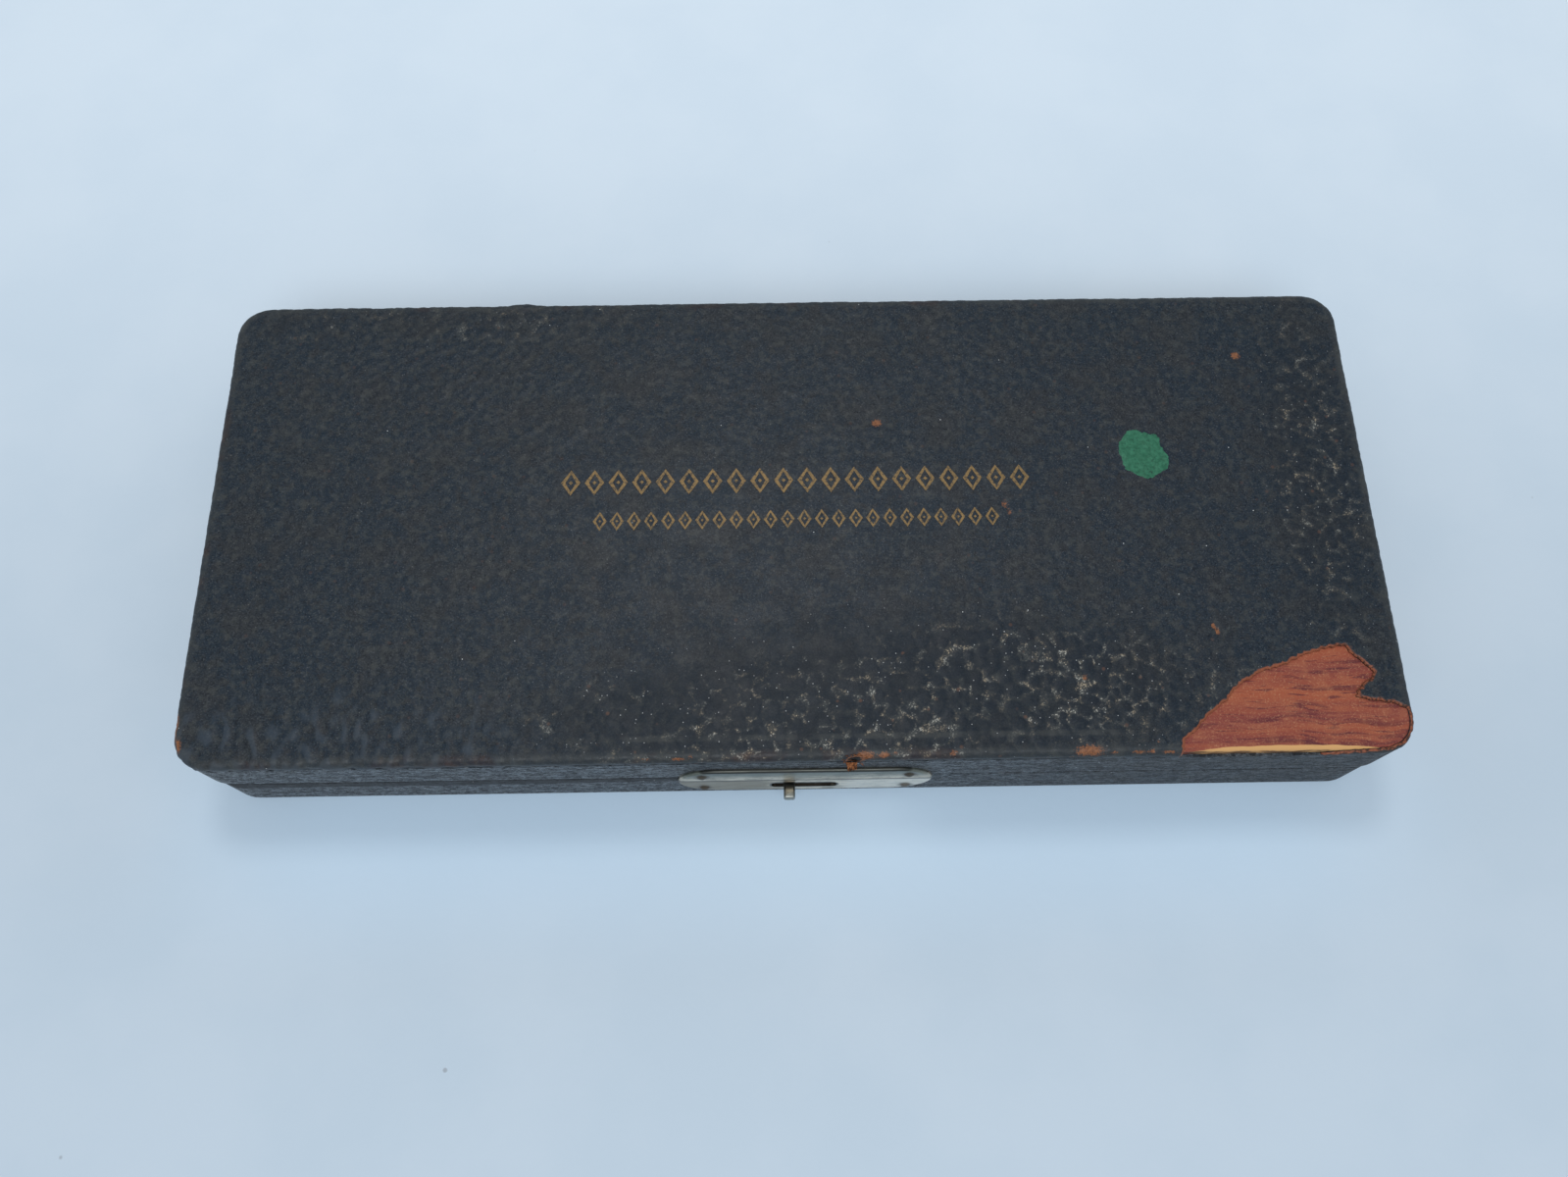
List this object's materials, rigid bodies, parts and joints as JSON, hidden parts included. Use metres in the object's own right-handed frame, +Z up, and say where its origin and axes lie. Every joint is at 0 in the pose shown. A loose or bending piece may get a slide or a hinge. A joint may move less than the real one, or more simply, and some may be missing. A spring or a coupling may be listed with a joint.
{
  "type": "gauge box",
  "caption": "Slim hinged case covered in black leatherette, with a nickel slide catch in front and a velvet-covered block inside cut for a depth gauge and its rods.",
  "frame": {"origin": "centre of the underside", "axes": "+X along the box to the right, +Y to the hinges at the back, +Z up; the catch faces -Y"},
  "size_m": [0.24, 0.1072, 0.0286],
  "materials": {
    "leatherette": "pebbled, satin, worn",
    "wood": "plain, unvarnished",
    "nickel": "dull nickel plate",
    "brass": "dull",
    "velvet": "short-pile velvet",
    "lining_cloth": "short-pile velvet on card"
  },
  "bodies": {
    "base": {"base_bottom_board": "wood", "base_front_rail": "wood", "base_back_rail": "wood", "base_left_rail": "wood", "base_right_rail": "wood", "base_bottom_cover": "leatherette", "base_side_cover": "leatherette", "gauge_block": "wood", "gauge_block_lining": "velvet", "latch_base_plate": "nickel", "latch_guide": "nickel", "latch_base_pins": "nickel", "hinge_left_base_leaf": "brass", "hinge_right_base_leaf": "brass", "hinge_left_pin": "brass", "hinge_right_pin": "brass", "hinge_base_screws": "brass"},
    "lid": {"lid_top_board": "wood", "lid_front_rail": "wood", "lid_back_rail": "wood", "lid_left_rail": "wood", "lid_right_rail": "wood", "lid_top_cover": "leatherette", "lid_side_cover": "leatherette", "lid_wall_lining": "lining_cloth", "lid_pad": "velvet", "latch_lid_plate": "nickel", "latch_keeper": "nickel", "latch_lid_pins": "nickel", "hinge_left_lid_leaf": "brass", "hinge_right_lid_leaf": "brass", "hinge_lid_screws": "brass"},
    "slide": {"slide_bolt": "nickel", "thumb_stud": "nickel"}
  },
  "joints": [
    {"name": "lid_hinge", "type": "hinge", "parent": "base", "child": "lid", "pos_m": [0, 0.0493, 0.0143], "axis": [-1, 0, 0], "range_deg": [0, 100]},
    {"name": "catch_slide", "type": "slide", "parent": "base", "child": "slide", "axis": [1, 0, 0], "range_m": [-0.0023, 0.0083]}
  ]
}
